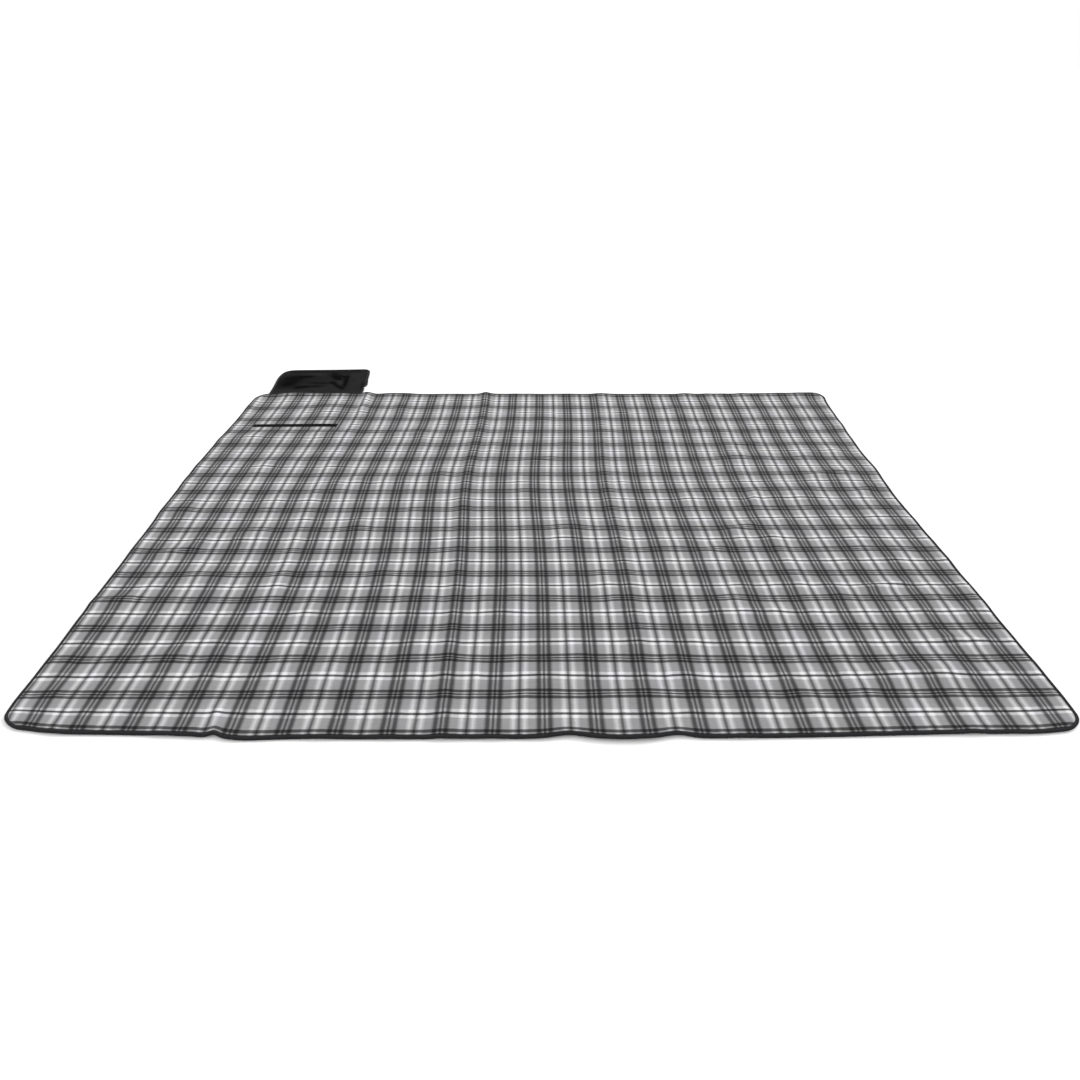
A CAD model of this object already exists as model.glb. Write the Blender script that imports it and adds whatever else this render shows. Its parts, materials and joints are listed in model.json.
"""Visual model of the camp blanket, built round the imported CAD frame.

Everything is in metres in the frame's axes: +X along the long side, +Y to the edge with the flap, +Z up.
"""
import json
import math

import bpy
import numpy as np
from mathutils import Matrix, Vector


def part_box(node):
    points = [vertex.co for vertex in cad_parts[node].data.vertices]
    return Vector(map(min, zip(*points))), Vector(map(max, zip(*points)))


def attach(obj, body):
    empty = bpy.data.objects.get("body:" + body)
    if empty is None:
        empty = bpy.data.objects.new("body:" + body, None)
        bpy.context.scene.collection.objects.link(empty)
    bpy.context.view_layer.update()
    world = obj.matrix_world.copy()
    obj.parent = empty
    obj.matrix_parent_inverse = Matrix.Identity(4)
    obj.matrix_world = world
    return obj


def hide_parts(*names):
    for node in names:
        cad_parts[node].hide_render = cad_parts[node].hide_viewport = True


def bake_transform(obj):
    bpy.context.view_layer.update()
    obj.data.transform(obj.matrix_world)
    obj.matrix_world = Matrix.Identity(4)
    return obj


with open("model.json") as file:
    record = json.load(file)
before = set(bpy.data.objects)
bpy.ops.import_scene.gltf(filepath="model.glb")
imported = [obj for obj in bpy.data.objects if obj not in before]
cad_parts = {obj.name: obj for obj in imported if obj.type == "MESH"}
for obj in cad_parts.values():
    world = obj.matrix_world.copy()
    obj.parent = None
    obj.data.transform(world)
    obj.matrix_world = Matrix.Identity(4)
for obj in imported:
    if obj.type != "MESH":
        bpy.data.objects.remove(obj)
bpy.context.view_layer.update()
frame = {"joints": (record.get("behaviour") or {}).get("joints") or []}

MM = 0.001
PANELS = 5


# ---------------- places from the frame

def joined_box(*nodes):
    """Lowest and highest corner of several CAD nodes, as arrays."""
    boxes = [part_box(node) for node in nodes]
    low = np.min([b[0] for b in boxes], axis=0)
    high = np.max([b[1] for b in boxes], axis=0)
    return low, high


def panel_nodes(layer):
    """The names of one layer's CAD nodes."""
    return [f"{layer}_{n}" for n in range(1, PANELS + 1)]


HALF_X, HALF_Y, THICKNESS = joined_box(*panel_nodes("edge_binding"))[1]
FLAP_LOW, FLAP_HIGH = joined_box("flap_shell", "flap_binding")
SHELL_LOW, SHELL_HIGH = joined_box("flap_shell")
LINING_LOW, LINING_HIGH = joined_box("flap_lining")
LOOP_LOW, LOOP_HIGH = joined_box("loop_strip")
HOOK_LOW, HOOK_HIGH = joined_box("flap_hook_strip")
STRAP_LOW, STRAP_HIGH = joined_box("handle_strap")
ENDS_LOW, ENDS_HIGH = joined_box("handle_sewn_ends")
PATCHES_LOW, PATCHES_HIGH = joined_box("handle_patches")

JOINTS = {joint["name"]: joint for joint in frame["joints"]}
FOLD_X = [JOINTS[f"fold_{n}"]["pos_m"][0] for n in range(1, PANELS)]
PANEL_MIDDLES = [(a + b) / 2 for a, b in zip(FOLD_X, FOLD_X[1:])]
SPAN_ENDS = [-HALF_X, *PANEL_MIDDLES, HALF_X]

FLAP_MIDDLE_X = (FLAP_LOW[0] + FLAP_HIGH[0]) / 2
FLAP_HALF_X = (FLAP_HIGH[0] - FLAP_LOW[0]) / 2
FLAP_BASE_Y = HALF_Y - 4 * MM    # the flap starts here, sewn in under the mat's binding

CORNER_RADIUS = 45 * MM
FLAP_CORNER_RADIUS = 28 * MM
WEBBING_WIDTH = 25 * MM
HANDLE_BOW_RADIUS = 55 * MM
STRIP_ROUND = 1.2 * MM   # the rounded rim of a closure strip or a patch
BEND_HALF = 19 * MM      # half of the cloth that turns round at a fold

# Distances between vertices.
CLOTH_PITCH = 8 * MM     # in the open field of the mat
CORNER_PITCH = 5 * MM    # beside its rounded corners, and along the webbing
RIM_PITCH = 1.5 * MM     # at its short ends and at the flap's sides
ROW_RIM_PITCH = 1.8 * MM  # at its long edges
SPAN_END_STEP = 1 * MM   # the last step of a span, where the next one starts
BEND_PITCH = 3 * MM      # across a fold, and in the open field of the flap
TAPE_PITCH = 4 * MM      # along the flap's binding and its seams
ROUND_PITCH = 0.4 * MM   # across a rounded rim
EDGE_ZONE = 26 * MM      # within this of the mat's rim the rows and columns are closest


# ---------------- how the cloth lies

# Where the cloth has slid in its own plane, in mm: centre x and y, half size in x and y, slide in x and y.
SLIDES = (
    (-350, 150, 450, 300, -11, 0),
    (0, 140, 3000, 290, -13, 0),
    (0, 0, 4000, 4000, 4, -2),
    (1000, 800, 500, 300, 15, 0),
    (1000, -300, 330, 480, -6, 0),
    (1000, 210, 260, 90, 8, 0),
    (-1000, 400, 260, 180, -5, 0),
    (-1000, -570, 260, 120, 6, 0),
    (-1000, -760, 400, 70, 7, 0),
    (-700, -50, 450, 330, 0, -5),
    (820, 80, 250, 220, 0, 8),
    (420, 600, 480, 110, 0, -9),
    (620, -600, 420, 110, 0, -5),
    (-710, 640, 60, 90, 0, 15),
    (-450, 640, 130, 90, 0, -6),
    (-950, 640, 90, 110, 0, -11),
    (0, 750, 4000, 45, 0, 9),
    (-868, 755, 62, 45, 0, 10),
    (-985, -750, 75, 60, 5, 15),
    (-830, -750, 260, 60, 0, 11),
    (780, -750, 260, 60, 0, 6),
    (985, -750, 60, 55, -5, 8),
    (100, -750, 900, 70, 0, -4),
    (-590, -750, 14, 30, 0, 5),
    (-540, -750, 60, 30, 0, -5),
    (50, -750, 35, 30, 0, 6),
    (150, -750, 60, 40, 0, -4),
    (245, -750, 30, 30, 0, 6),
    (1000, 750, 45, 45, 7, -5),
)

# Ridges in the cloth, in mm: centre x and y, heading in degrees, half length, half width, height.
RIDGES = (
    (-184, 400, 90, 400, 17, 5),
    (-190, -380, 91, 420, 17, 3),
    (205, 60, 90, 700, 16, 2.2),
    (600, 0, 90, 800, 18, 1.4),
    (-600, 100, 90, 560, 18, 1.6),
    (-606, 690, 96, 90, 18, 7.5),
    (-190, 735, 90, 60, 18, 4),
    (640, 366, 10, 60, 15, 4.5),
    (850, 181, 20, 70, 16, 5),
    (610, 60, 60, 60, 15, 4.5),
    (525, -95, 25, 60, 14, 4.5),
    (430, -188, 25, 50, 13, 4),
    (20, 273, 15, 55, 14, 4),
    (790, -330, 14, 70, 12, 4.5),
    (880, -500, 170, 60, 13, 4),
    (470, -420, 8, 80, 13, 3),
    (-420, 440, 5, 70, 12, 3),
    (0, -90, 0, 160, 70, 2.5),
    (930, 88, 40, 50, 15, 4),
    (-890, -188, 20, 60, 16, 4),
    (-950, -373, 10, 60, 16, 4),
    (90, -500, 0, 180, 60, 3),
    (720, -600, 10, 130, 40, 6),
    (180, -650, 0, 80, 24, 3.5),
    (110, -745, 0, 130, 22, 4),
    (-596, -730, 100, 60, 10, 3.5),
    (-500, 745, 0, 60, 24, 4),
    (225, 735, 80, 60, 26, 2.5),
    (525, 735, 85, 60, 26, 2),
    (850, 745, 0, 150, 30, 3),
    (995, 745, 135, 60, 34, 5.5),
    (-640, 660, 62, 110, 14, 3),
    (-800, 752, 1, 165, 24, 4.5),
)

# Creases in the flap, given in the same way.
FLAP_CREASES = (
    (-762, 941, -28, 26, 6, 2),
    (-728, 914, -55, 22, 6, 2.2),
    (-712, 850, -88, 52, 5, 2.2),
    (-740, 872, -50, 20, 12, 2),
    (-806, 846, 0, 40, 5, 1.6),
    (-842, 810, 18, 38, 5, 1.8),
    (-900, 880, 60, 45, 14, 1.6),
    (-860, 930, 8, 70, 8, 1.4),
    (-668, 880, -80, 60, 9, 1.4),
    (-770, 785, 5, 80, 7, 1.2),
    (-641, 812, 97, 36, 3, 1.6),
    (-652, 800, 97, 28, 3, 1.2),
)

# Where the flap has slid in its own plane: its rounder left corner and the step in its right side.
FLAP_SLIDES = (
    (-950, 1010, 34, 50, 9, -4),
    (-960, 930, 60, 80, -6, 0),
    (-620, 845, 45, 40, 6, 0),
    (-620, 1000, 60, 45, -5, 0),
    (-620, 818, 12, 11, -8, 0),
)

# Dull and shiny places on the flap's lining, given like the ridges, with a share of brightness at the end.
FLAP_TONES = (
    (-905, 878, 80, 76, 48, -0.85),
    (-862, 928, 10, 34, 13, -0.60),
    (-744, 926, -62, 48, 18, -1.00),
    (-718, 930, -40, 22, 9, -0.60),
    (-702, 878, -88, 74, 9, -0.95),
    (-728, 832, -57, 50, 9, -0.85),
    (-722, 868, -72, 26, 8, 0.35),
    (-795, 858, 0, 46, 9, -0.60),
    (-825, 822, 8, 52, 12, -0.75),
    (-855, 806, 25, 28, 11, -0.55),
    (-805, 895, 90, 50, 44, -0.28),
    (-800, 980, 0, 105, 3.5, -0.40),
    (-790, 969, 0, 105, 3, 0.15),
    (-742, 962, 0, 50, 4, -0.45),
    (-638, 828, 97, 42, 4, -0.70),
    (-628, 832, 97, 36, 3, -0.50),
)

RIPPLE_WAVES = 26
RIPPLE_HEIGHT = 1.1 * MM
RIPPLE_LENGTHS = (0.05, 0.24)  # the shortest and the longest wave
RIPPLE_CONTRAST = 0.75  # how much the crests stand out from the flat hollows
LEVELLED = 0.88  # share of the relief that is missing under the closed flap
CREASE_FADE = 20 * MM  # over this the flap's creases fade, at the mat and at the hook strip
FLAP_LEAN = (8 * MM, 17 * MM)  # how far the flap lies to the left, at the mat and at its far edge
FLAP_SHORTER = (24 * MM, 14 * MM)  # how much less far it reaches than drawn, at its left and right side
rng = np.random.default_rng(11)
WAVE_HEADING = rng.uniform(0, math.pi, RIPPLE_WAVES)
WAVE_LENGTH = rng.uniform(*RIPPLE_LENGTHS, RIPPLE_WAVES)
WAVE_PHASE = rng.uniform(0, 2 * math.pi, RIPPLE_WAVES)


def smooth(value, start, end):
    """0 before start, 1 after end, with a soft change between them."""
    t = np.clip((value - start) / (end - start), 0, 1)
    return t * t * (3 - 2 * t)


def ridges(x, y, table):
    """Height of a table of ridges, each a soft crest with faded ends."""
    height = np.zeros_like(x)
    for centre_x, centre_y, heading, half_length, half_width, crest in table:
        turn = math.radians(heading)
        dx = x - centre_x * MM
        dy = y - centre_y * MM
        along = (dx * math.cos(turn) + dy * math.sin(turn)) / (half_length * MM)
        across = (dy * math.cos(turn) - dx * math.sin(turn)) / (half_width * MM)
        height += crest * MM * np.exp(-along ** 4 - across ** 2)
    return height


def ripples(x, y):
    """Height of small uneven ripples over the whole cloth, which is always above 0."""
    height = np.zeros_like(x)
    for heading, length, phase in zip(WAVE_HEADING, WAVE_LENGTH, WAVE_PHASE):
        along = x * math.cos(heading) + y * math.sin(heading)
        height += length / RIPPLE_LENGTHS[1] * np.sin(2 * math.pi * along / length + phase)
    return RIPPLE_HEIGHT * np.log1p(np.exp(height * RIPPLE_CONTRAST))


def under_flap(x, y):
    """1 where the closed flap comes to lie on the plaid, 0 elsewhere, with soft borders."""
    left = smooth(x, FLAP_LOW[0] - 30 * MM, FLAP_LOW[0])
    right = 1 - smooth(x, FLAP_HIGH[0], FLAP_HIGH[0] + 15 * MM)
    front = smooth(y, LOOP_LOW[1] - 50 * MM, LOOP_LOW[1] - 10 * MM)
    back = 1 - smooth(y, HALF_Y - 40 * MM, HALF_Y - 8 * MM)
    return left * right * front * back


def between(ends, share):
    """The value at a share of the way from one end to the other."""
    return ends[0] + (ends[1] - ends[0]) * share


def slide(x, y, table=SLIDES):
    """How far each point of the cloth has slid in x and in y."""
    moved_x = np.zeros_like(x)
    moved_y = np.zeros_like(y)
    for centre_x, centre_y, half_x, half_y, by_x, by_y in table:
        near = np.exp(-((x / MM - centre_x) / half_x) ** 2 - ((y / MM - centre_y) / half_y) ** 2)
        moved_x += by_x * MM * near
        moved_y += by_y * MM * near
    return moved_x, moved_y


def mat_relief(x, y):
    """How far the mat stands off the floor, less where the closed flap has to lie flat on it."""
    return (ridges(x, y, RIDGES) + ripples(x, y)) * (1 - LEVELLED * under_flap(x, y))


def settle(points):
    """Lay points of the flat, stretched-out mat down as the cloth really lies."""
    x, y, z = np.array(points, float).T
    moved_x, moved_y = slide(x, y)
    return np.stack([x + moved_x, y + moved_y, z + mat_relief(x, y)], axis=1)


def settle_flap(points):
    """Lay points of the flat flap down: it hangs on the mat's edge and has its own creases."""
    x, y, z = np.array(points, float).T
    mat_edge = np.full_like(y, HALF_Y)
    moved_x, moved_y = slide(x, mat_edge)
    reach = (y - HALF_Y) / (FLAP_HIGH[1] - HALF_Y)
    across = (x - FLAP_LOW[0]) / (FLAP_HIGH[0] - FLAP_LOW[0])
    own_x, own_y = slide(x, y, FLAP_SLIDES)
    x_there = x + moved_x + own_x - between(FLAP_LEAN, reach)
    y_there = y + moved_y * (1 - reach) + own_y - between(FLAP_SHORTER, across ** 2) * reach
    beyond_mat = smooth(y, HALF_Y, HALF_Y + CREASE_FADE)
    before_hooks = 1 - smooth(y, HOOK_LOW[1] - CREASE_FADE, HOOK_LOW[1])
    on_mat = 1 - smooth(y, HALF_Y - 3 * MM, HALF_Y + 7 * MM)
    relief = ridges(x, y, FLAP_CREASES) * beyond_mat * before_hooks + mat_relief(x, mat_edge) * on_mat
    return np.stack([x_there, y_there, z + relief], axis=1)


# ---------------- mesh tools

SHARP_ANGLE = math.radians(55)    # faces that meet at more than this show an edge


def level(value):
    """A function that gives the same value at every place."""
    return lambda x, y=None: np.full_like(x, value)


def ladder(*stops):
    """Positions along stops of (place, step): from each place to the next at about its step."""
    places = []
    for (start, step), (end, _) in zip(stops, stops[1:]):
        count = max(1, round(abs(end - start) / step))
        places += [start + (end - start) * k / count for k in range(count)]
    return np.array(places + [stops[-1][0]])


def run_length(points):
    """Distance travelled along a path at each of its points."""
    return np.concatenate([[0], np.cumsum(np.linalg.norm(np.diff(points, axis=0), axis=1))])


def add_object(name, data):
    """A new object in the scene."""
    made = bpy.data.objects.new(name, data)
    bpy.context.scene.collection.objects.link(made)
    return made


def make_piece(name, points, faces, uv, material, slot):
    """A smooth-shaded mesh object with one UV map, given per vertex in metres of flat cloth."""
    mesh = bpy.data.meshes.new(name)
    mesh.from_pydata(np.asarray(points).tolist(), [], [list(map(int, f)) for f in faces])
    mesh.update()
    corner = np.zeros(len(mesh.loops), np.int32)
    mesh.loops.foreach_get("vertex_index", corner)
    layer = mesh.uv_layers.new(name="flat")
    layer.data.foreach_set("uv", np.asarray(uv, np.float32)[corner].ravel())
    mesh.shade_smooth()
    mesh.set_sharp_from_angle(angle=SHARP_ANGLE)
    mesh.materials.append(material)
    piece = add_object(name, mesh)
    return piece


def set_tone(piece, tone):
    """Store a tone at each vertex of a piece, worked out from its place on the flat cloth."""
    mesh = piece.data
    corner = np.zeros(len(mesh.loops), np.int32)
    mesh.loops.foreach_get("vertex_index", corner)
    uv = np.zeros(len(mesh.loops) * 2, np.float32)
    mesh.uv_layers["flat"].data.foreach_get("uv", uv)
    flat = np.zeros((len(mesh.vertices), 2))
    flat[corner] = uv.reshape(-1, 2)
    values = tone(flat[:, 0], flat[:, 1])
    mesh.attributes.new("tone", "FLOAT", "POINT").data.foreach_set("value", values.astype(np.float32))


def grid_faces(rows, columns):
    """Quads over a grid of vertices numbered row by row."""
    r, c = np.meshgrid(np.arange(rows - 1), np.arange(columns - 1), indexing="ij")
    a = r * columns + c
    return np.stack([a, a + columns, a + columns + 1, a + 1], axis=-1).reshape(-1, 4)


def shell(name, columns, low, high, fractions, upper, lower, lay, material, slot):
    """A closed sheet over columns in x, each from low to high in y at the given fractions.

    low and high are functions of x. upper and lower give the heights of its faces at flat x and y, and lay
    moves the flat points to where they lie.
    """
    x = np.repeat(columns[:, None], len(fractions), axis=1)
    y = low(columns)[:, None] + (high(columns) - low(columns))[:, None] * fractions[None, :]
    x, y = x.ravel(), y.ravel()
    sides = [np.stack([x, y, height(x, y)], axis=1) for height in (upper, lower)]
    count = len(x)
    top = grid_faces(len(columns), len(fractions))
    index = np.arange(count).reshape(len(columns), len(fractions))
    rim = np.concatenate([index[:-1, 0], index[-1, :-1], index[:0:-1, -1], index[0, :0:-1]])
    following = np.roll(rim, -1)
    wall = np.stack([rim, rim + count, following + count, following], axis=1)
    faces = np.concatenate([top, top[:, ::-1] + count, wall])
    uv = np.tile(np.stack([x, y], axis=1), (2, 1))
    return make_piece(name, lay(np.concatenate(sides)), faces, uv, material, slot)


def swept_points(path, sideways, section):
    """Points of a section of (distance sideways, height), repeated at each point of a path in the plane."""
    points = np.zeros((len(path), len(section), 3))
    points[..., :2] = path[:, None, :] + sideways[:, None, :] * section[None, :, :1]
    points[..., 2] = section[None, :, 1]
    return points.reshape(-1, 3)


def swept_sides(stations, around):
    """Quads round a closed section of so many points, between one station of a path and the next."""
    ring = np.arange(around)
    beside = np.roll(ring, -1)
    start = np.arange(stations - 1)[:, None] * around
    quads = [start + ring, start + beside, start + around + beside, start + around + ring]
    return np.stack(quads, axis=-1).reshape(-1, 4)


def swept_uv(path, across):
    """Flat-cloth coordinates of swept points: the way along the path, and a value for each point across."""
    return np.stack(np.broadcast_arrays(run_length(path)[:, None], across[None, :]), axis=-1).reshape(-1, 2)


def edge_tape(name, path, inward, outer, inner, lay):
    """A tape folded over an edge: the closed section between outer and inner, swept along a path.

    outer and inner are given in mm as (distance in from the edge, height).
    """
    section = np.array(outer + inner[::-1]) * MM
    k = np.arange(len(outer) - 1)
    cap = np.stack([k, len(section) - 1 - k, len(section) - 2 - k, k + 1], axis=1)
    far_cap = cap[:, ::-1] + (len(path) - 1) * len(section)
    faces = np.concatenate([swept_sides(len(path), len(section)), cap, far_cap])
    points = lay(swept_points(path, inward, section))
    return make_piece(name, points, faces, swept_uv(path, run_length(section)), BINDING, "binding")


def join_meshes(name, pieces):
    """Several pieces as one object."""
    with bpy.context.temp_override(active_object=pieces[0], selected_editable_objects=pieces):
        bpy.ops.object.join()
    pieces[0].name = name
    pieces[0].data.name = name
    return pieces[0]


def stitch_points(at, side, thick):
    """Points of one stitch through four places: a sunk tip, two rings of four, and the other tip."""
    along = (at[3] - at[0]) / np.linalg.norm(at[3] - at[0])
    beside = np.array([-along[1], along[0], 0.0])
    up = np.array([0.0, 0.0, side])
    points = [at[0] - up * thick / 2]
    for middle in at[1:3]:
        for across, height in ((1, 0), (0, 1), (-1, 0), (0, -1)):
            points.append(middle + (beside * across + up * height) * thick / 2)
    points.append(at[3] - up * thick / 2)
    return points


def stitch_faces(first, side):
    """Faces of one stitch whose points are numbered from first."""
    one, two, tip = first + 1, first + 5, first + 9
    faces = []
    for here in range(4):
        after = (here + 1) % 4
        faces.append([one + here, one + after, two + after, two + here][::side])
        faces.append([first, one + after, one + here][::side])
        faces.append([tip, two + here, two + after][::side])
    return faces


def stitch_row(name, lines, lay, slot, pitch=4.4 * MM, length=3.1 * MM, thick=0.55 * MM):
    """Rows of black thread beads, each sunk into the cloth at its two ends.

    lines are (flat points, side): side is +1 for a row on top of the cloth and -1 for one beneath it.
    """
    points = []
    faces = []
    uv = []
    for line, side in lines:
        gone = run_length(line)
        count = max(1, int(gone[-1] / pitch))
        for number in range(count):
            centre = (number + 0.5) * gone[-1] / count
            places = centre + np.array([-0.5, -0.25, 0.25, 0.5]) * length
            at = np.stack([np.interp(places, gone, line[:, axis]) for axis in range(3)], axis=1)
            faces += stitch_faces(len(points), side)
            stitch = stitch_points(at, side, thick)
            points += stitch
            uv += [(centre, 0.0)] * len(stitch)
    return make_piece(name, lay(np.array(points)), faces, uv, BLACK_THREAD, slot)


# ---------------- material tools

def add_node(tree, kind, inputs=None, **settings):
    """A shader node with its settings, and its inputs given as numbers or as sockets to link."""
    made = tree.nodes.new("ShaderNode" + kind)
    for key, value in settings.items():
        setattr(made, key, value)
    for key, value in (inputs or {}).items():
        if isinstance(value, bpy.types.NodeSocket):
            tree.links.new(value, made.inputs[key])
        else:
            made.inputs[key].default_value = value
    return made


def maths(operation, *values):
    """The output of a Math node, in the tree that its first socket belongs to."""
    tree = next(value.id_data for value in values if isinstance(value, bpy.types.NodeSocket))
    return add_node(tree, "Math", dict(enumerate(values)), operation=operation).outputs[0]


def cloth_material(name, shader):
    """A new material, with its shader node and the flat cloth's coordinates."""
    material = bpy.data.materials.new(name)
    material.use_nodes = True
    tree = material.node_tree
    tree.nodes.clear()
    surface = add_node(tree, "BsdfPrincipled", shader)
    output = add_node(tree, "OutputMaterial")
    tree.links.new(surface.outputs[0], output.inputs[0])
    flat = add_node(tree, "UVMap", uv_map="flat").outputs[0]
    return material, surface, flat


def along_and_across(flat):
    """The flat cloth's two coordinates, each by itself."""
    axes = add_node(flat.id_data, "SeparateXYZ", {0: flat})
    return axes.outputs[0], axes.outputs[1]


def use_roughness(surface, value):
    """Let a value set the surface's roughness."""
    surface.id_data.links.new(value, surface.inputs["Roughness"])


def profile(distance, half_period, points):
    """A strength that follows hand-set (distance in mm, strength) points; strengths go up to 2."""
    ramp = add_node(distance.id_data, "ValToRGB", {0: maths("DIVIDE", distance, half_period)})
    stops = ramp.color_ramp.elements
    while len(stops) < len(points):
        stops.new(0.5)
    for stop, (place, strength) in zip(stops, points):
        stop.position = place * MM / half_period
        stop.color = (strength / 2,) * 3 + (1,)
    return maths("MULTIPLY", ramp.outputs[0], 2.0)


def threads(along, pitch):
    """0 to 1 and back over each thread of the given pitch."""
    wave = maths("SINE", maths("MULTIPLY", along, 2 * math.pi / pitch))
    return maths("MULTIPLY_ADD", wave, 0.5, 0.5)


def weave(u, v, pitch):
    """Height of a plain weave: warp threads over weft threads, in turn."""
    warp = threads(u, pitch)
    weft = threads(v, pitch)
    both_up = maths("MULTIPLY", warp, weft)
    both_down = maths("MULTIPLY", maths("SUBTRACT", 1.0, warp), maths("SUBTRACT", 1.0, weft))
    return maths("ADD", both_up, both_down)


def scaled_flat(flat, scale):
    """The flat cloth's coordinates times a scale in x and y."""
    return add_node(flat.id_data, "Mapping", {"Vector": flat, "Scale": (*scale, 1)}).outputs[0]


def stretched_noise(flat, scale, **inputs):
    """Noise over the flat cloth with its own scale in x and y, per metre."""
    made = add_node(flat.id_data, "TexNoise", {"Vector": scaled_flat(flat, scale), "Scale": 1.0, **inputs})
    return made.outputs["Fac"]


def use_bump(surface, height, distance, strength=1.0):
    """Bump the surface by a height from 0 to 1 that stands for a distance in metres."""
    bump = add_node(height.id_data, "Bump", {"Height": height, "Distance": distance, "Strength": strength})
    height.id_data.links.new(bump.outputs[0], surface.inputs["Normal"])


def use_colour(surface, colour, strength):
    """Colour the surface with a colour times a strength."""
    tree = strength.id_data
    scaled = add_node(tree, "VectorMath", {0: colour, "Scale": strength}, operation="SCALE")
    tree.links.new(scaled.outputs[0], surface.inputs["Base Color"])


def varied(value, low, high):
    """A 0 to 1 value as low to high."""
    return add_node(value.id_data, "MapRange", {0: value, "To Min": low, "To Max": high}).outputs[0]


# ---------------- materials

# The plaid repeats over these distances, and is symmetric about the middle line of each dark band.
PLAID_X = {"period": 94.5 * MM, "middle": 5 * MM}
PLAID_Y = {"period": 92.4 * MM, "middle": -3.5 * MM}
PLAID_YARN = 1.6 * MM
PLAID_BRIGHTEST = 2.65      # the strength of the whitest yarn

# Strength of the colour by distance from a band's middle, in mm, across x and across y.
BANDS_X = ((0, 0.28), (1.7, 0.30), (2.6, 0.78), (5, 0.80), (7.4, 0.30), (10, 0.22), (12.4, 0.25),
           (15.6, 0.72), (18.4, 1.03), (29, 1.05), (33.5, 1.55), (36.5, 2), (39, 1.75),
           (42.6, 1.06), (44.4, 0.85), (45.4, 0.46), (47.25, 0.40))
BANDS_Y = ((0, 0.12), (1.4, 0.16), (2, 0.92), (4, 0.90), (5, 0.19), (10.6, 0.21), (12, 0.93),
           (35.8, 1), (36.6, 1.72), (42.8, 1.76), (43.8, 0.30), (46.2, 0.24))


def plaid_material():
    """Brushed woven plaid in grey, white and black."""
    material, surface, flat = cloth_material(
        "brushed_plaid", {"Sheen Weight": 0.03, "Sheen Roughness": 0.6, "IOR": 1.12})
    u, v = along_and_across(flat)
    strengths = []
    for axis, repeat, bands in ((u, PLAID_X, BANDS_X), (v, PLAID_Y, BANDS_Y)):
        half = repeat["period"] / 2
        wander = varied(stretched_noise(flat, (60, 60)), -0.8 * MM, 0.8 * MM)
        placed = maths("ADD", maths("SUBTRACT", axis, repeat["middle"]), wander)
        distance = maths("PINGPONG", placed, half)
        strengths.append(profile(distance, half, bands))
    pattern = maths("MULTIPLY", *strengths)
    streaks = varied(stretched_noise(flat, (25, 330), Detail=2.0), 0.88, 1.12)
    clouds = varied(stretched_noise(flat, (9, 9), Detail=3.0), 0.90, 1.10)
    yarns = weave(u, v, PLAID_YARN)
    nap = stretched_noise(flat, (500, 1100), Detail=3.0)
    for part in (streaks, clouds, varied(yarns, 0.90, 1.06), varied(nap, 0.74, 1.26)):
        pattern = maths("MULTIPLY", pattern, part)
    pattern = maths("MINIMUM", pattern, PLAID_BRIGHTEST)
    tint = add_node(material.node_tree, "ValToRGB", {0: stretched_noise(flat, (14, 14))})
    neutral, cool = tint.color_ramp.elements
    neutral.position = 0.35
    neutral.color = (0.258, 0.259, 0.258, 1)
    cool.position = 0.65
    cool.color = (0.259, 0.256, 0.267, 1)
    use_colour(surface, tint.outputs[0], pattern)
    height = maths("ADD", maths("MULTIPLY", yarns, 0.5), nap)
    use_bump(surface, height, 0.35 * MM, 0.7)
    use_roughness(surface, varied(nap, 0.85, 1.0))
    return material


def backing_material():
    """Coated waterproof cloth: black, satin, with a fine embossed grain and soft crinkles."""
    material, surface, flat = cloth_material(
        "coated_backing", {"Specular IOR Level": 0.45, "Coat Weight": 0.15, "Coat Roughness": 0.35})
    crinkle = stretched_noise(flat, (45, 45), Detail=4.0, Distortion=0.6)
    grain = weave(*along_and_across(flat), 1.3 * MM)
    use_colour(surface, (0.034, 0.034, 0.037), varied(crinkle, 0.7, 1.35))
    use_roughness(surface, varied(crinkle, 0.36, 0.58))
    use_bump(surface, maths("ADD", crinkle, maths("MULTIPLY", grain, 0.12)), 1.2 * MM, 0.6)
    return material


def padding_material():
    """White wadding, with loose fibres."""
    material, surface, flat = cloth_material("wadding", {"Sheen Weight": 0.2, "Roughness": 0.95})
    fibre = stretched_noise(flat, (220, 220), Detail=5.0, Distortion=1.5)
    use_colour(surface, (0.78, 0.78, 0.76), varied(fibre, 0.85, 1.08))
    use_bump(surface, fibre, 0.6 * MM)
    return material


def tape_material(name, colour, rib_pitch, roughness):
    """Woven tape or webbing with ribs across it, darker between the ribs."""
    material, surface, flat = cloth_material(
        name, {"Sheen Weight": 0.02, "Sheen Roughness": 0.5, "IOR": 1.06})
    u, v = along_and_across(flat)
    ribs = threads(u, rib_pitch)
    lengthways = threads(v, rib_pitch * 1.4)
    wear = stretched_noise(flat, (40, 120), Detail=3.0)
    height = maths("ADD", ribs, maths("MULTIPLY", lengthways, 0.5))
    strength = maths("MULTIPLY", varied(height, 0.65, 1.2), varied(wear, 0.75, 1.3))
    use_colour(surface, colour, strength)
    use_roughness(surface, varied(wear, roughness - 0.1, roughness + 0.1))
    use_bump(surface, height, 0.25 * MM, 0.8)
    return material


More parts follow.
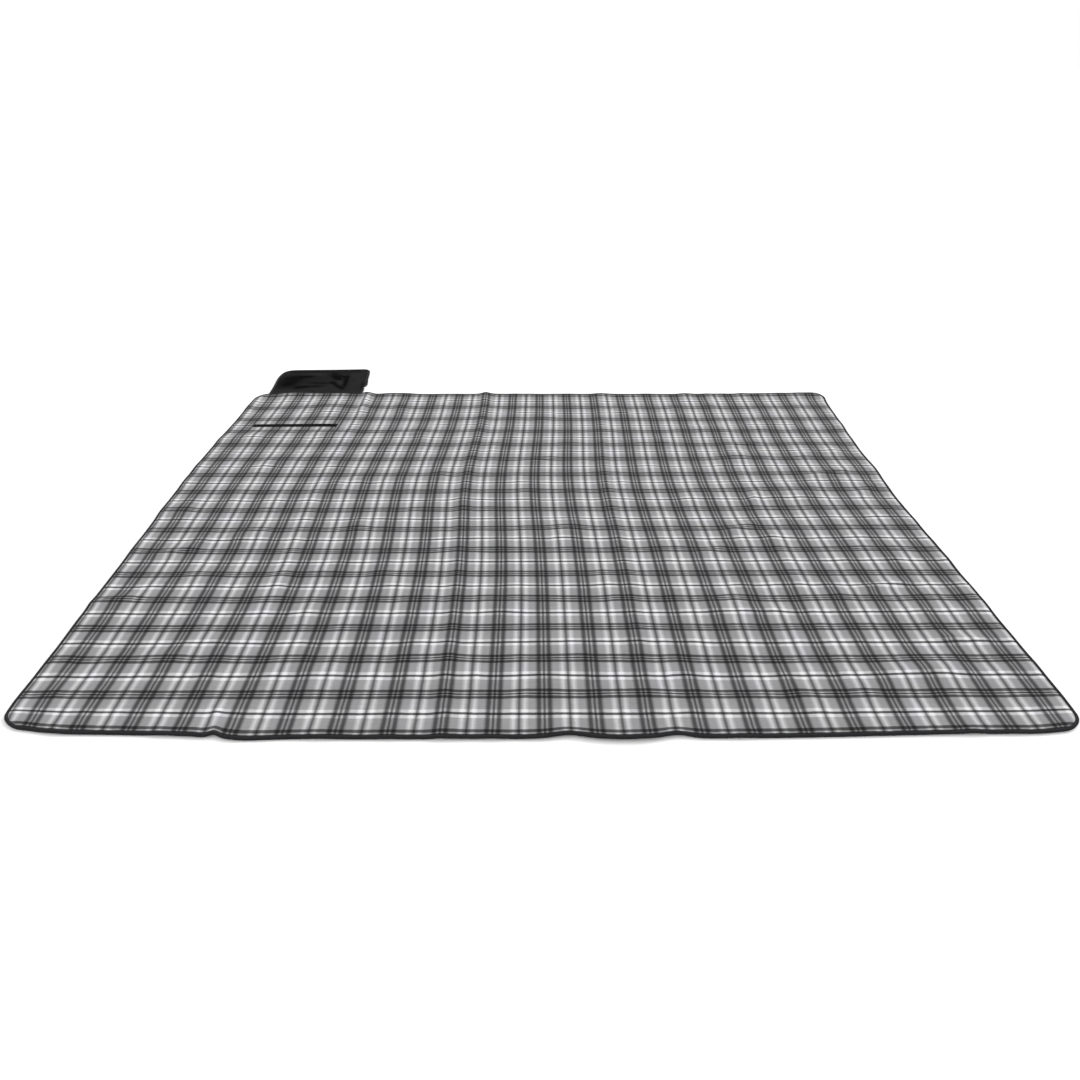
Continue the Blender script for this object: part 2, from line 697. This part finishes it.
def flap_material():
    """Coated cloth of the flap: black and smooth, with a fine weave under the coating and stored tones."""
    material, surface, flat = cloth_material("coated_flap_cloth", {"IOR": 1.015})
    crumple = stretched_noise(flat, (30, 30), Detail=3.0, Distortion=0.8)
    fine = weave(*along_and_across(flat), 0.9 * MM)
    tone = add_node(material.node_tree, "Attribute", attribute_name="tone").outputs["Fac"]
    strength = maths("MULTIPLY", varied(crumple, 0.75, 1.25), tone)
    use_colour(surface, (0.0185, 0.0185, 0.019), strength)
    use_roughness(surface, varied(crumple, 0.36, 0.52))
    use_bump(surface, maths("ADD", crumple, maths("MULTIPLY", fine, 0.06)), 1.6 * MM, 0.6)
    return material


def closure_material(name, scale, roughness):
    """Hook-and-loop tape: a matt black field of tiny loops or hooks."""
    material, surface, flat = cloth_material(
        name, {"Sheen Weight": 0.01, "Sheen Roughness": 0.4, "IOR": 1.05})
    places = {"Vector": scaled_flat(flat, (scale, scale)), "Scale": 1.0}
    tufts = add_node(material.node_tree, "TexVoronoi", places).outputs["Distance"]
    use_colour(surface, (0.008, 0.008, 0.0085), varied(tufts, 1.5, 0.5))
    use_roughness(surface, varied(tufts, roughness, roughness - 0.15))
    use_bump(surface, maths("SUBTRACT", 1.0, tufts), 0.8 * MM)
    return material


def thread_material(name, colour):
    """Polyester sewing thread, twisted."""
    material, surface, _ = cloth_material(name, {"Sheen Weight": 0.2, "Specular IOR Level": 0.4})
    where = add_node(material.node_tree, "NewGeometry").outputs["Position"]
    twist = add_node(material.node_tree, "TexNoise", {"Vector": where, "Scale": 900.0}).outputs["Fac"]
    use_colour(surface, colour, varied(twist, 0.6, 1.4))
    use_roughness(surface, varied(twist, 0.4, 0.6))
    use_bump(surface, twist, 0.1 * MM)
    return material


def floor_material():
    """Plain pale studio floor."""
    material = bpy.data.materials.new("studio_floor")
    material.use_nodes = True
    surface = material.node_tree.nodes["Principled BSDF"]
    surface.inputs["Base Color"].default_value = (0.93, 0.93, 0.93, 1)
    surface.inputs["Roughness"].default_value = 0.9
    surface.inputs["Specular IOR Level"].default_value = 0.1
    return material


PLAID = plaid_material()
BACKING = backing_material()
WADDING = padding_material()
BINDING = tape_material("binding_tape", (0.020, 0.020, 0.0215), 0.9 * MM, 0.75)
WEBBING = tape_material("handle_webbing", (0.026, 0.026, 0.028), 2.2 * MM, 0.7)
FLAP_CLOTH = flap_material()
LOOP_TAPE = closure_material("loop_tape", 900, 0.95)
HOOK_TAPE = closure_material("hook_tape", 600, 0.7)
BLACK_THREAD = thread_material("black_thread", (0.03, 0.03, 0.032))


# ---------------- the mat

# Distances in from the mat's rim.
LAYER_RISE = (6 * MM, 14 * MM)    # between these the layers rise from the binding to the open field
ROLL_PLACE = 16 * MM
ROLL_HALF_WIDTH = 7 * MM


def rim_distance(x, y):
    """Distance in from the mat's rounded rim."""
    out_x = np.abs(x) - (HALF_X - CORNER_RADIUS)
    out_y = np.abs(y) - (HALF_Y - CORNER_RADIUS)
    outside = np.hypot(np.maximum(out_x, 0), np.maximum(out_y, 0))
    return CORNER_RADIUS - outside - np.minimum(np.maximum(out_x, out_y), 0)


def layer_height(field, edge, puff=0.0):
    """Height of a layer's face: edge under the binding, field in the open, and a soft roll between."""
    def height(x, y):
        inside = rim_distance(x, y)
        roll = np.exp(-((inside - ROLL_PLACE) / ROLL_HALF_WIDTH) ** 2)
        return between((edge, field), smooth(inside, *LAYER_RISE)) + puff * roll
    return height


LAYERS = {
    "top_fabric": {
        "upper": layer_height(5.0 * MM, 3.9 * MM, puff=0.5 * MM),
        "lower": layer_height(3.8 * MM, 3.1 * MM),
        "inset": 1.5 * MM,
        "material": PLAID,
        "slot": "plaid",
    },
    "padding": {
        "upper": layer_height(3.75 * MM, 3.0 * MM),
        "lower": layer_height(0.45 * MM, 1.4 * MM),
        "inset": 2.0 * MM,
        "material": WADDING,
        "slot": "padding",
    },
    "backing": {
        "upper": layer_height(0.4 * MM, 1.3 * MM),
        "lower": layer_height(0.0, 0.9 * MM),
        "inset": 1.5 * MM,
        "material": BACKING,
        "slot": "backing",
    },
}


def corner_reach(distance, radius):
    """How far a rounded corner reaches at a distance beyond its centre."""
    return np.sqrt(radius ** 2 - np.clip(distance, 0, radius) ** 2)


def half_height(inset):
    """Half of the mat's height in y at each column, less an inset."""
    def half(x):
        beyond = np.abs(x) - (HALF_X - CORNER_RADIUS)
        return HALF_Y - CORNER_RADIUS + corner_reach(beyond, CORNER_RADIUS - inset)
    return half


def span_columns(start, end, fold, inset=0.0):
    """Columns of one span of the mat, closer at its fold, at its ends and round the corners."""
    left = [(start, SPAN_END_STEP), (start + SPAN_END_STEP, CLOTH_PITCH)]
    right = [(end - SPAN_END_STEP, SPAN_END_STEP), (end, 0)]
    if start <= -HALF_X:
        left = [(start + inset, RIM_PITCH), (start + EDGE_ZONE, CORNER_PITCH),
                (start + CORNER_RADIUS, CLOTH_PITCH)]
    if end >= HALF_X:
        right = [(end - CORNER_RADIUS, CORNER_PITCH), (end - EDGE_ZONE, RIM_PITCH), (end - inset, 0)]
    bend = BEND_HALF + 5 * MM
    return ladder(*left, (fold - bend, BEND_PITCH), (fold + bend, CLOTH_PITCH), *right)


def row_fractions():
    """Rows of the mat as shares of its height, closer near the two long edges."""
    front = (-HALF_Y, ROW_RIM_PITCH), (EDGE_ZONE - HALF_Y, CLOTH_PITCH)
    back = (HALF_Y - EDGE_ZONE, ROW_RIM_PITCH), (HALF_Y, 0)
    return (ladder(*front, *back) + HALF_Y) / (2 * HALF_Y)


def bend_over(piece, number):
    """Bend a piece of the mat round its fold, turning the way the hinge does.

    Where the hinge is above the mat the turn is counted from the panel on its right, else from its left.
    """
    joint = JOINTS[f"fold_{number}"]
    x, _, z = joint["pos_m"]
    if z > THICKNESS:
        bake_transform(piece)
    else:
        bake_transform(piece)


def nodes_of_span(layer, number):
    """The CAD nodes that a span of a layer stands for: one panel, or the last two for the last span."""
    names = panel_nodes(layer)
    return names[number - 1:] if number == PANELS - 1 else names[number - 1:number]


def mat_layer(layer):
    """The spans of one layer of the mat, from the flap's end."""
    facts = LAYERS[layer]
    half = half_height(facts["inset"])
    spans = []
    for number, (start, end, fold) in enumerate(zip(SPAN_ENDS, SPAN_ENDS[1:], FOLD_X), start=1):
        columns = span_columns(start, end, fold, facts["inset"])
        piece = shell(f"{layer}_span_{number}", columns, lambda x: -half(x), half, row_fractions(),
                      facts["upper"], facts["lower"], settle, facts["material"], facts["slot"])
        bend_over(piece, number)
        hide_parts(*nodes_of_span(layer, number))
        spans.append(piece)
    return spans


# Section of the binding in mm, from the plaid to the backing: distance in from the rim, and height.
BINDING_OUTER = ((7, 4.55), (6.6, 4.9), (5.9, 5), (5.2, 4.7), (4.5, 4.95), (3.4, 5), (2.4, 4.85),
                 (1.4, 4.45), (0.6, 3.8), (0.1, 2.9), (0.1, 2), (0.6, 0.9), (1.4, 0.25), (2.4, 0),
                 (3.4, 0), (4.4, 0), (5.2, 0.15), (5.9, 0), (6.6, 0), (7, 0.2))
BINDING_INNER = ((7, 4.15), (6.6, 4.2), (5.9, 4.25), (5.2, 4.15), (4.5, 4.3), (3.4, 4.35), (2.4, 4.2),
                 (1.7, 3.9), (1.1, 3.4), (0.7, 2.8), (0.7, 2.1), (1.1, 1.3), (1.7, 0.8), (2.4, 0.6),
                 (3.4, 0.6), (4.4, 0.6), (5.2, 0.7), (5.9, 0.65), (6.6, 0.65), (7, 0.7))
BINDING_SEAM = {"inset": 5.2 * MM, "top": 4.85 * MM, "bottom": 0.1 * MM}


def arc_points(centre, radius, start, end, count=14):
    """Points and inward directions along an arc, with angles in degrees."""
    angle = np.radians(np.linspace(start, end, count))
    outward = np.stack([np.cos(angle), np.sin(angle)], axis=1)
    return np.array(centre) + outward * radius, -outward


def straight_points(places, fixed, axis, inward):
    """Points and inward directions along a straight edge, whose other coordinate is fixed."""
    points = np.zeros((len(places), 2))
    points[:, axis] = places
    points[:, 1 - axis] = fixed
    return points, np.tile(np.array(inward, float), (len(places), 1))


def mat_edges(start, end, fold):
    """The mat's rim along one span: one path round an end of the mat, or two along its long edges."""
    columns = span_columns(start, end, fold)
    columns = columns[np.abs(columns) <= HALF_X - CORNER_RADIUS + 1e-9]
    back = straight_points(columns, HALF_Y, 0, (0, -1))
    front = straight_points(columns[::-1], -HALF_Y, 0, (0, 1))
    if start > -HALF_X and end < HALF_X:
        return [back, front]
    x = HALF_X - CORNER_RADIUS
    y = HALF_Y - CORNER_RADIUS
    short = ladder((y, CLOTH_PITCH), (-y, 0))
    if end >= HALF_X:
        return [join_paths([
            back,
            arc_points((x, y), CORNER_RADIUS, 90, 0),
            straight_points(short, HALF_X, 1, (-1, 0)),
            arc_points((x, -y), CORNER_RADIUS, 0, -90),
            front,
        ])]
    return [join_paths([
        front,
        arc_points((-x, -y), CORNER_RADIUS, 270, 180),
        straight_points(short[::-1], -HALF_X, 1, (1, 0)),
        arc_points((-x, y), CORNER_RADIUS, 180, 90),
        back,
    ])]


def join_paths(parts):
    """Several (points, inward) runs as one, without the points they share."""
    points = np.concatenate([p for p, _ in parts])
    inward = np.concatenate([n for _, n in parts])
    keep = np.concatenate([[True], np.linalg.norm(np.diff(points, axis=0), axis=1) > 1e-6])
    return points[keep], inward[keep]


def at_height(points, height):
    """Points of the plane, at a height."""
    return np.column_stack([points, np.full(len(points), height)])


def seam_lines(points, inward, seam):
    """A row of stitches on top and one beneath, both beside a path."""
    beside = points + inward * seam["inset"]
    return [(at_height(beside, seam["top"]), 1), (at_height(beside, seam["bottom"]), -1)]


def mat_binding():
    """The binding tape round the mat, and the rows of stitches that hold it."""
    for number, (start, end, fold) in enumerate(zip(SPAN_ENDS, SPAN_ENDS[1:], FOLD_X), start=1):
        runs = []
        lines = []
        for points, inward in mat_edges(start, end, fold):
            runs.append(edge_tape("run", points, inward, BINDING_OUTER, BINDING_INNER, settle))
            lines += seam_lines(points, inward, BINDING_SEAM)
        tape = join_meshes(f"binding_span_{number}", runs)
        seam = stitch_row(f"binding_stitches_{number}", lines, settle, "binding")
        for piece in (tape, seam):
            bend_over(piece, number)
        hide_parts(*nodes_of_span("edge_binding", number))


# ---------------- the closure strips

def rounded_face(low, high, at_rim, inside_rim):
    """Height of a strip's face, which curves from one height at its rim to another inside it."""
    def height(x, y):
        inside = np.minimum(np.minimum(x - low[0], high[0] - x), np.minimum(y - low[1], high[1] - y))
        share = np.sqrt(np.clip(1 - (1 - np.clip(inside / STRIP_ROUND, 0, 1)) ** 2, 0, 1))
        return between((at_rim, inside_rim), share)
    return height


def strip_ladder(start, end, pitch):
    """Positions across a strip, closest on its rounded rim."""
    inner = (start + STRIP_ROUND, pitch), (end - STRIP_ROUND, ROUND_PITCH)
    return ladder((start, ROUND_PITCH), *inner, (end, 0))


def flat_strip(name, low, high, pitches, upper, lower, lay, material, slot):
    """A rectangle of tape or cloth between two corners, with the given pitches in x and y."""
    columns = strip_ladder(low[0], high[0], pitches[0])
    rows = strip_ladder(low[1], high[1], pitches[1])
    fractions = (rows - low[1]) / (high[1] - low[1])
    return shell(name, columns, level(low[1]), level(high[1]), fractions, upper, lower, lay, material, slot)


def rectangle_lines(low, high, inset, height, side):
    """A closed row of stitches just inside a rectangle's edge."""
    x0, y0 = low[:2] + inset
    x1, y1 = high[:2] - inset
    corners = np.array([(x0, y0), (x1, y0), (x1, y1), (x0, y1), (x0, y0)])
    lines = []
    for a, b in zip(corners, corners[1:]):
        count = max(2, int(math.dist(a, b) / (6 * MM)))
        lines.append((at_height(np.linspace(a, b, count), height), side))
    return lines


def closure_strip(name, low, high, body, node, lay, material):
    """A hook or loop strip with softly rounded sides, sewn down all round."""
    upper = rounded_face(low, high, low[2] + 0.3 * MM, high[2])
    strip = flat_strip(name, low, high, (5 * MM, 2.5 * MM), upper, level(low[2]), lay, material, "closure")
    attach(strip, body)
    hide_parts(node)
    lines = rectangle_lines(low, high, 2.4 * MM, high[2] - 0.05 * MM, 1)
    seam = stitch_row(name + "_stitches", lines, lay, "closure",
                      pitch=3.6 * MM, length=2.6 * MM, thick=0.35 * MM)
    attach(seam, body)


# ---------------- the flap

FLAP_TONE_LIMITS = (0.22, 1.4)


def flap_far(inset):
    """Far edge of the flap at each column, less an inset, with its rounded corners."""
    def far(x):
        beyond = np.abs(x - FLAP_MIDDLE_X) - (FLAP_HALF_X - FLAP_CORNER_RADIUS)
        return FLAP_HIGH[1] - FLAP_CORNER_RADIUS + corner_reach(beyond, FLAP_CORNER_RADIUS - inset)
    return far


def flap_tone(x, y):
    """Brightness of the flap's lining, 1 where it lies open to the light."""
    return np.clip(1 + ridges(x, y, FLAP_TONES) / MM, *FLAP_TONE_LIMITS)


def flap_sheet(name, node, low_z, high_z, tone):
    """One of the flap's two sheets, from the mat's binding to the flap's own."""
    inset = 1.2 * MM
    left, right = FLAP_LOW[0] + inset, FLAP_HIGH[0] - inset
    sides = (left + 12 * MM, BEND_PITCH), (right - 12 * MM, RIM_PITCH)
    columns = ladder((left, RIM_PITCH), *sides, (right, 0))
    depth = FLAP_HIGH[1] - FLAP_BASE_Y
    rows = ladder((0, 0.8 * MM), (18 * MM, BEND_PITCH), (depth - 10 * MM, RIM_PITCH), (depth, 0))
    sheet = shell(name, columns, level(FLAP_BASE_Y), flap_far(inset), rows / depth,
                  level(high_z), level(low_z), settle_flap, FLAP_CLOTH, "flap")
    set_tone(sheet, tone)
    bend_at_flap(sheet)
    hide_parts(node)


def bend_at_flap(piece):
    """Bend a piece of the flap round the mat's edge, from where it is sewn on, as it closes."""
    sewn = settle_flap([(FLAP_MIDDLE_X, HALF_Y, 0)])[0]
    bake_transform(piece)


# Section of the flap's binding, given like the mat's.
FLAP_BINDING_OUTER = ((8, 3.5), (7.2, 3.85), (6.2, 3.75), (5.2, 3.95), (3.4, 4), (1.6, 3.8), (0.5, 3.3),
                      (0, 2.7), (0.5, 2.1), (1.6, 1.7), (3.4, 1.6), (5.2, 1.6), (6.2, 1.65), (7.2, 1.6),
                      (8, 1.9))
FLAP_BINDING_INNER = ((8, 3.4), (7.2, 3.45), (6.2, 3.45), (5.2, 3.5), (3.4, 3.5), (2, 3.4), (1.1, 3.1),
                      (0.9, 2.7), (1.1, 2.3), (2, 2.05), (3.4, 2), (5.2, 2), (6.2, 2), (7.2, 2),
                      (8, 2))
FLAP_BINDING_SEAM = {"inset": 6.2 * MM, "top": 3.9 * MM, "bottom": 1.65 * MM}
FLAP_SEAM_PLACES = (FLAP_HIGH[1] - 45 * MM, FLAP_HIGH[1] - 67 * MM, HALF_Y + 12 * MM)
FINE_STITCH = {"pitch": 3.4 * MM, "length": 2.5 * MM}


def flap_edge_path():
    """The flap's three free sides, from its base round to its base."""
    corner_y = FLAP_HIGH[1] - FLAP_CORNER_RADIUS
    side = ladder((FLAP_BASE_Y + 2 * MM, TAPE_PITCH), (corner_y, 0))
    left_corner = (FLAP_LOW[0] + FLAP_CORNER_RADIUS, corner_y)
    right_corner = (FLAP_HIGH[0] - FLAP_CORNER_RADIUS, corner_y)
    far = ladder((left_corner[0], TAPE_PITCH), (right_corner[0], 0))
    return join_paths([
        straight_points(side, FLAP_LOW[0], 1, (1, 0)),
        arc_points(left_corner, FLAP_CORNER_RADIUS, 180, 90),
        straight_points(far, FLAP_HIGH[1], 0, (0, -1)),
        arc_points(right_corner, FLAP_CORNER_RADIUS, 90, 0),
        straight_points(side[::-1], FLAP_HIGH[0], 1, (-1, 0)),
    ])


def flap_binding():
    """The binding round the flap's free sides, with its stitches on both faces."""
    points, inward = flap_edge_path()
    tape = edge_tape("flap_edge_tape", points, inward, FLAP_BINDING_OUTER, FLAP_BINDING_INNER, settle_flap)
    lines = seam_lines(points, inward, FLAP_BINDING_SEAM)
    seam = stitch_row("flap_edge_stitches", lines, settle_flap, "binding")
    for piece in (tape, seam):
        bend_at_flap(piece)
    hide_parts("flap_binding")


def flap_seams():
    """Rows of stitching across the flap's lining: two beside the far edge and one beside the mat."""
    columns = ladder((FLAP_LOW[0] + 12 * MM, TAPE_PITCH), (FLAP_HIGH[0] - 12 * MM, 0))
    lines = []
    for y in FLAP_SEAM_PLACES:
        across = np.column_stack([columns, np.full_like(columns, y)])
        lines.append((at_height(across, LINING_HIGH[2] + 0.1 * MM), 1))
    seam = stitch_row("flap_lining_stitches", lines, settle_flap, "flap", **FINE_STITCH)
    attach(seam, "flap")


# ---------------- the carry handle

def webbing_section(width, thickness):
    """Closed section of a webbing, with rounded sides, as (across, up) points from its middle."""
    half = width / 2 - thickness / 2
    right = [(half + thickness / 2 * math.cos(a), thickness / 2 * math.sin(a))
             for a in np.radians((-90, -45, 0, 45, 90))]
    top = [(half * k / 6, thickness / 2) for k in range(5, -6, -1)]
    left = [(-a, -b) for a, b in right]
    bottom = [(-a, -b) for a, b in top]
    return np.array(right + top + left + bottom)


def as_it_is(points):
    """Points of a piece that lies just as it was drawn."""
    return points


def webbing_run(name, path, low_z, high_z):
    """The handle's flat webbing along a path in the plane, between two heights."""
    along = np.gradient(path, axis=0)
    along /= np.linalg.norm(along, axis=1)[:, None]
    beside = np.stack([-along[:, 1], along[:, 0]], axis=1)
    section = webbing_section(WEBBING_WIDTH, high_z - low_z)
    points = swept_points(path, beside, section + (0, (low_z + high_z) / 2))
    ring = np.arange(len(section))
    last = (len(path) - 1) * len(section)
    outward_sides = swept_sides(len(path), len(section))[:, [0, 3, 2, 1]]
    faces = [*outward_sides, ring, ring[::-1] + last]
    return make_piece(name, points, faces, swept_uv(path, section[:, 0]), WEBBING, "webbing")


def handle_loop():
    """The free loop of the carry handle, lying under the open flap."""
    left = STRAP_LOW[0] + WEBBING_WIDTH / 2
    right = STRAP_HIGH[0] - WEBBING_WIDTH / 2
    radius = min(HANDLE_BOW_RADIUS, (right - left) / 2)
    bend_y = STRAP_HIGH[1] - WEBBING_WIDTH / 2 - radius
    path, _ = join_paths([
        straight_points(ladder((STRAP_LOW[1], CORNER_PITCH), (bend_y, 0)), left, 1, (1, 0)),
        arc_points((left + radius, bend_y), radius, 180, 90, 16),
        arc_points((right - radius, bend_y), radius, 90, 0, 16),
        straight_points(ladder((bend_y, CORNER_PITCH), (STRAP_LOW[1], 0)), right, 1, (-1, 0)),
    ])
    loop = webbing_run("carry_loop", path, STRAP_LOW[2], STRAP_HIGH[2])
    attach(loop, "handle")
    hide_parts("handle_strap")


def handle_ends():
    """The handle's two sewn ends and their stitched patches on the flap's outer side."""
    ends = []
    patches = []
    lines = []
    half = (PATCHES_HIGH[1] - PATCHES_LOW[1]) / 2
    for x in (ENDS_LOW[0] + WEBBING_WIDTH / 2, ENDS_HIGH[0] - WEBBING_WIDTH / 2):
        run, _ = straight_points(ladder((ENDS_LOW[1], CORNER_PITCH), (ENDS_HIGH[1], 0)), x, 1, (1, 0))
        ends.append(webbing_run("end", run, ENDS_LOW[2], ENDS_HIGH[2]))
        low = np.array([x - half, *PATCHES_LOW[1:]])
        high = np.array([x + half, *PATCHES_HIGH[1:]])
        lower = rounded_face(low, high, high[2] - 0.1 * MM, low[2])
        patches.append(flat_strip("patch", low, high, (4 * MM, 4 * MM), level(high[2]), lower,
                                  as_it_is, FLAP_CLOTH, "flap"))
        lines += box_and_cross(low, high, 4 * MM)
    sewn = join_meshes("carry_loop_ends", ends)
    held = join_meshes("carry_loop_patches", patches)
    set_tone(held, level(1))
    seam = stitch_row("carry_loop_stitches", lines, as_it_is, "webbing", thick=0.4 * MM, **FINE_STITCH)
    for piece in (sewn, held, seam):
        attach(piece, "flap")
    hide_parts("handle_sewn_ends")
    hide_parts("handle_patches")


def box_and_cross(low, high, inset):
    """Stitch lines beneath a patch: a square with a cross in it."""
    lines = rectangle_lines(low, high, inset, low[2], -1)
    shorter = 1 - 2.6 * inset / (high[0] - low[0])
    centre = (low[:2] + high[:2]) / 2
    for a, b in ((low[:2], high[:2]), ((low[0], high[1]), (high[0], low[1]))):
        flat = np.linspace(centre + (a - centre) * shorter, centre + (b - centre) * shorter, 9)
        lines.append((at_height(flat, low[2]), -1))
    return lines


# ---------------- studio

FLOOR_HALF = 60.0
FLOOR_BELOW = 0.4 * MM       # how far the floor is below the blanket
SKY_STRENGTH = 1.0
LAMP_STRENGTH = 1.6
LAMP_TOWARDS = (-0.75, -0.55, -0.62)
LAMP_SPREAD = math.radians(25)

# The camera: its place, lens in mm, pitch down, turn to the right and lean to the left.
CAMERA_PLACE = (-0.0083, -1.5421, 1.0013)
CAMERA_LENS = 22.76
CAMERA_PITCH = math.radians(35.54)
CAMERA_TURN = 0.0089
CAMERA_LEAN = 0.0034


def studio_floor():
    """A pale floor that reaches to the horizon."""
    mesh = bpy.data.meshes.new("floor")
    sides = ((-1, -1), (1, -1), (1, 1), (-1, 1))
    corners = [(x * FLOOR_HALF, y * FLOOR_HALF, -FLOOR_BELOW) for x, y in sides]
    mesh.from_pydata(corners, [], [(0, 1, 2, 3)])
    mesh.materials.append(floor_material())
    add_object("floor", mesh)


def studio_light():
    """White surroundings, and one very soft lamp from high behind on the right that shows the ripples."""
    world = bpy.data.worlds.new("studio")
    world.use_nodes = True
    background = world.node_tree.nodes["Background"]
    background.inputs["Color"].default_value = (1, 1, 1, 1)
    background.inputs["Strength"].default_value = SKY_STRENGTH
    bpy.context.scene.world = world
    lamp = bpy.data.lights.new("key", "SUN")
    lamp.energy = LAMP_STRENGTH
    lamp.angle = LAMP_SPREAD
    holder = add_object("key", lamp)
    holder.rotation_euler = Vector(LAMP_TOWARDS).to_track_quat("-Z", "Y").to_euler()
    bpy.context.scene.view_settings.view_transform = "Standard"


def photo_camera():
    """The camera: it looks down along +Y from above the front edge."""
    data = bpy.data.cameras.new("camera")
    data.sensor_width = 36
    data.lens = CAMERA_LENS
    camera = add_object("camera", data)
    turned = Matrix.Rotation(-CAMERA_TURN, 4, "Z")
    pitched = Matrix.Rotation(math.pi / 2 - CAMERA_PITCH, 4, "X")
    leaned = Matrix.Rotation(CAMERA_LEAN, 4, "Z")
    camera.matrix_world = Matrix.Translation(CAMERA_PLACE) @ turned @ pitched @ leaned
    bpy.context.scene.camera = camera


# ---------------- all together

photo_camera()
top_spans = mat_layer("top_fabric")
padding_spans = mat_layer("padding")
backing_spans = mat_layer("backing")
mat_binding()
for number, (start, end) in enumerate(zip(SPAN_ENDS, SPAN_ENDS[1:])):
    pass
closure_strip("loop_strip_tape", LOOP_LOW, LOOP_HIGH, "panel_1", "loop_strip", settle, LOOP_TAPE)
closure_strip("hook_strip_tape", HOOK_LOW, HOOK_HIGH, "flap", "flap_hook_strip", settle_flap, HOOK_TAPE)
flap_middle_z = (SHELL_HIGH[2] + LINING_LOW[2]) / 2
flap_sheet("flap_outer_sheet", "flap_shell", SHELL_LOW[2], flap_middle_z, level(1))
flap_sheet("flap_inner_sheet", "flap_lining", flap_middle_z, LINING_HIGH[2], flap_tone)
flap_binding()
flap_seams()
handle_loop()
handle_ends()
studio_floor()
studio_light()
